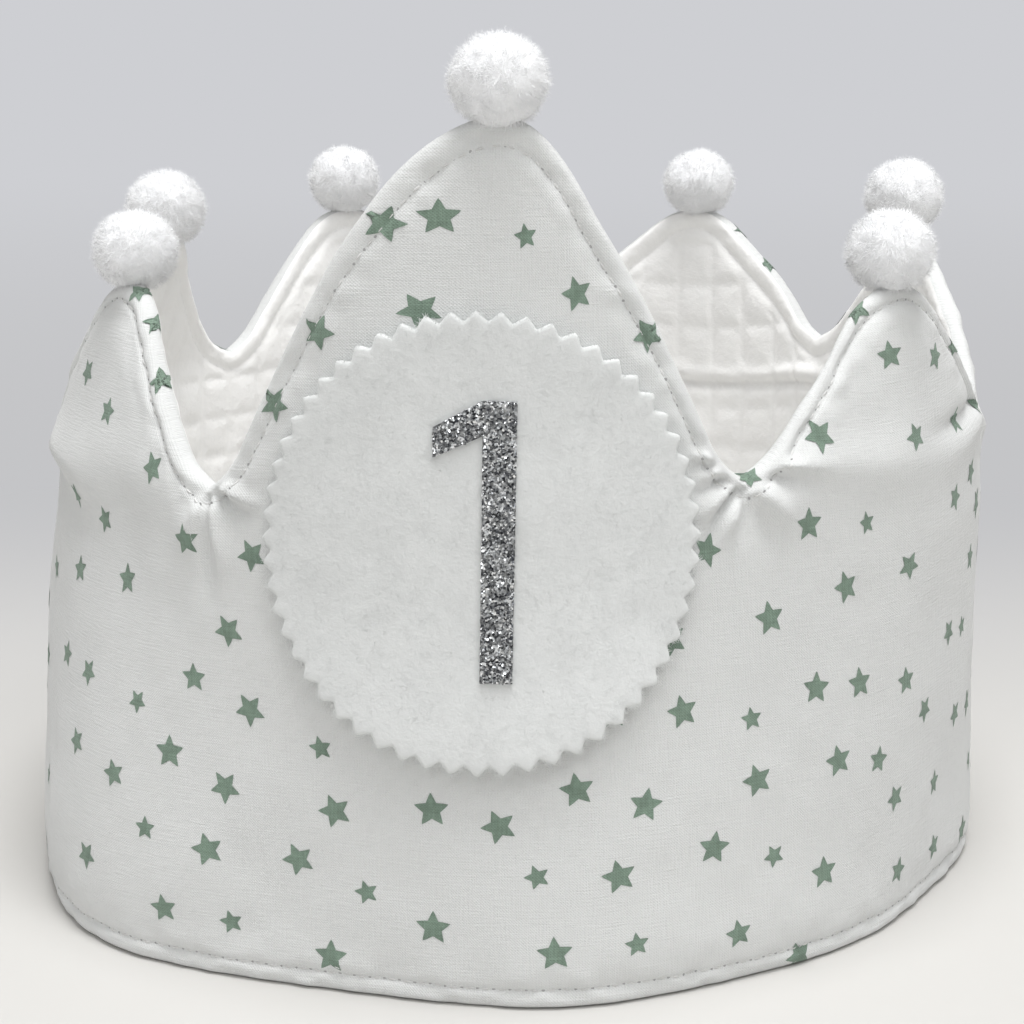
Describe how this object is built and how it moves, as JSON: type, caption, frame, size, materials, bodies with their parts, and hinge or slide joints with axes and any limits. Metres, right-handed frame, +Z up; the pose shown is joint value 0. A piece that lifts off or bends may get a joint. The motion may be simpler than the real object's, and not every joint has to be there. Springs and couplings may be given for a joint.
{
  "type": "birthday crown",
  "caption": "Padded fabric birthday crown: a ring of rounded points, each tipped with a pom-pom, with a pinked felt badge bearing a number and a hook-and-loop strap at the back.",
  "frame": {"origin": "centre of the object's bounding box at its lowest plane, which is the surface that the crown's lower rim stands on", "axes": "+Z up through the head opening; -Y is the front, where the badge is; +X is to the right of someone who looks at the badge"},
  "size_m": [0.1596, 0.1632, 0.1379],
  "materials": {
    "printed_cotton": "matte plain weave, white with scattered sage-green stars",
    "waffle_cotton": "matte waffle weave, warm white",
    "wadding": "matte felted fibre",
    "white_felt": "matte pressed felt",
    "silver_glitter": "coarse silver glitter film",
    "pom_pom_fibre": "fluffy fibre",
    "fastening_tape": "matte hook-and-loop tape"
  },
  "bodies": {
    "root": {"outer_cover": "printed_cotton", "wadding": "wadding", "lining": "waffle_cotton", "felt_badge": "white_felt", "number_one": "silver_glitter", "closing_strap": "printed_cotton", "hook_tape": "fastening_tape", "loop_tape": "fastening_tape", "pom_pom_front": "pom_pom_fibre", "pom_pom_right_front": "pom_pom_fibre", "pom_pom_right_rear": "pom_pom_fibre", "pom_pom_back_right": "pom_pom_fibre", "pom_pom_back_left": "pom_pom_fibre", "pom_pom_left_rear": "pom_pom_fibre", "pom_pom_left_front": "pom_pom_fibre"}
  },
  "joints": []
}
